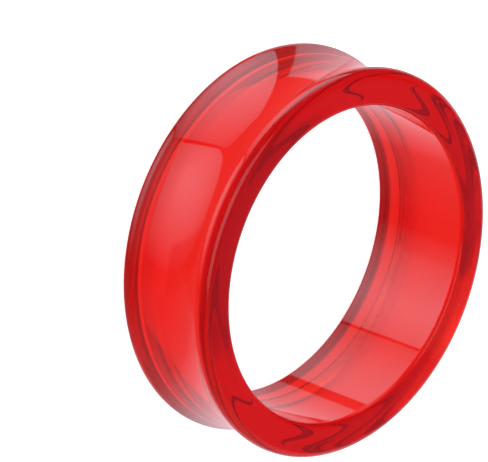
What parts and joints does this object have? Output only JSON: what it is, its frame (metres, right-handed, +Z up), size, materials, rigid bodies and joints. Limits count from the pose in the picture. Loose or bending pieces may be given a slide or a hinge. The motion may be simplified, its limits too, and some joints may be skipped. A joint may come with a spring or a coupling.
{
  "type": "double flare flesh tunnel",
  "caption": "Short clear-tinted ear tunnel: a straight open bore, a hollow saddle round the outside for the stretched lobe, and a flare with a rounded lip at each end.",
  "frame": {"origin": "centre of the lower flare's flat face, where the ring lies on a surface", "axes": "+Z up along the bore's axis, from the lower flare to the upper one; the part is round about it, so +X and +Y are free"},
  "size_m": [0.0398, 0.0398, 0.0119],
  "materials": {
    "red_acrylic": "clear tinted acrylic, polished all over to a high gloss"
  },
  "bodies": {
    "root": {"tunnel": "red_acrylic"}
  },
  "joints": []
}
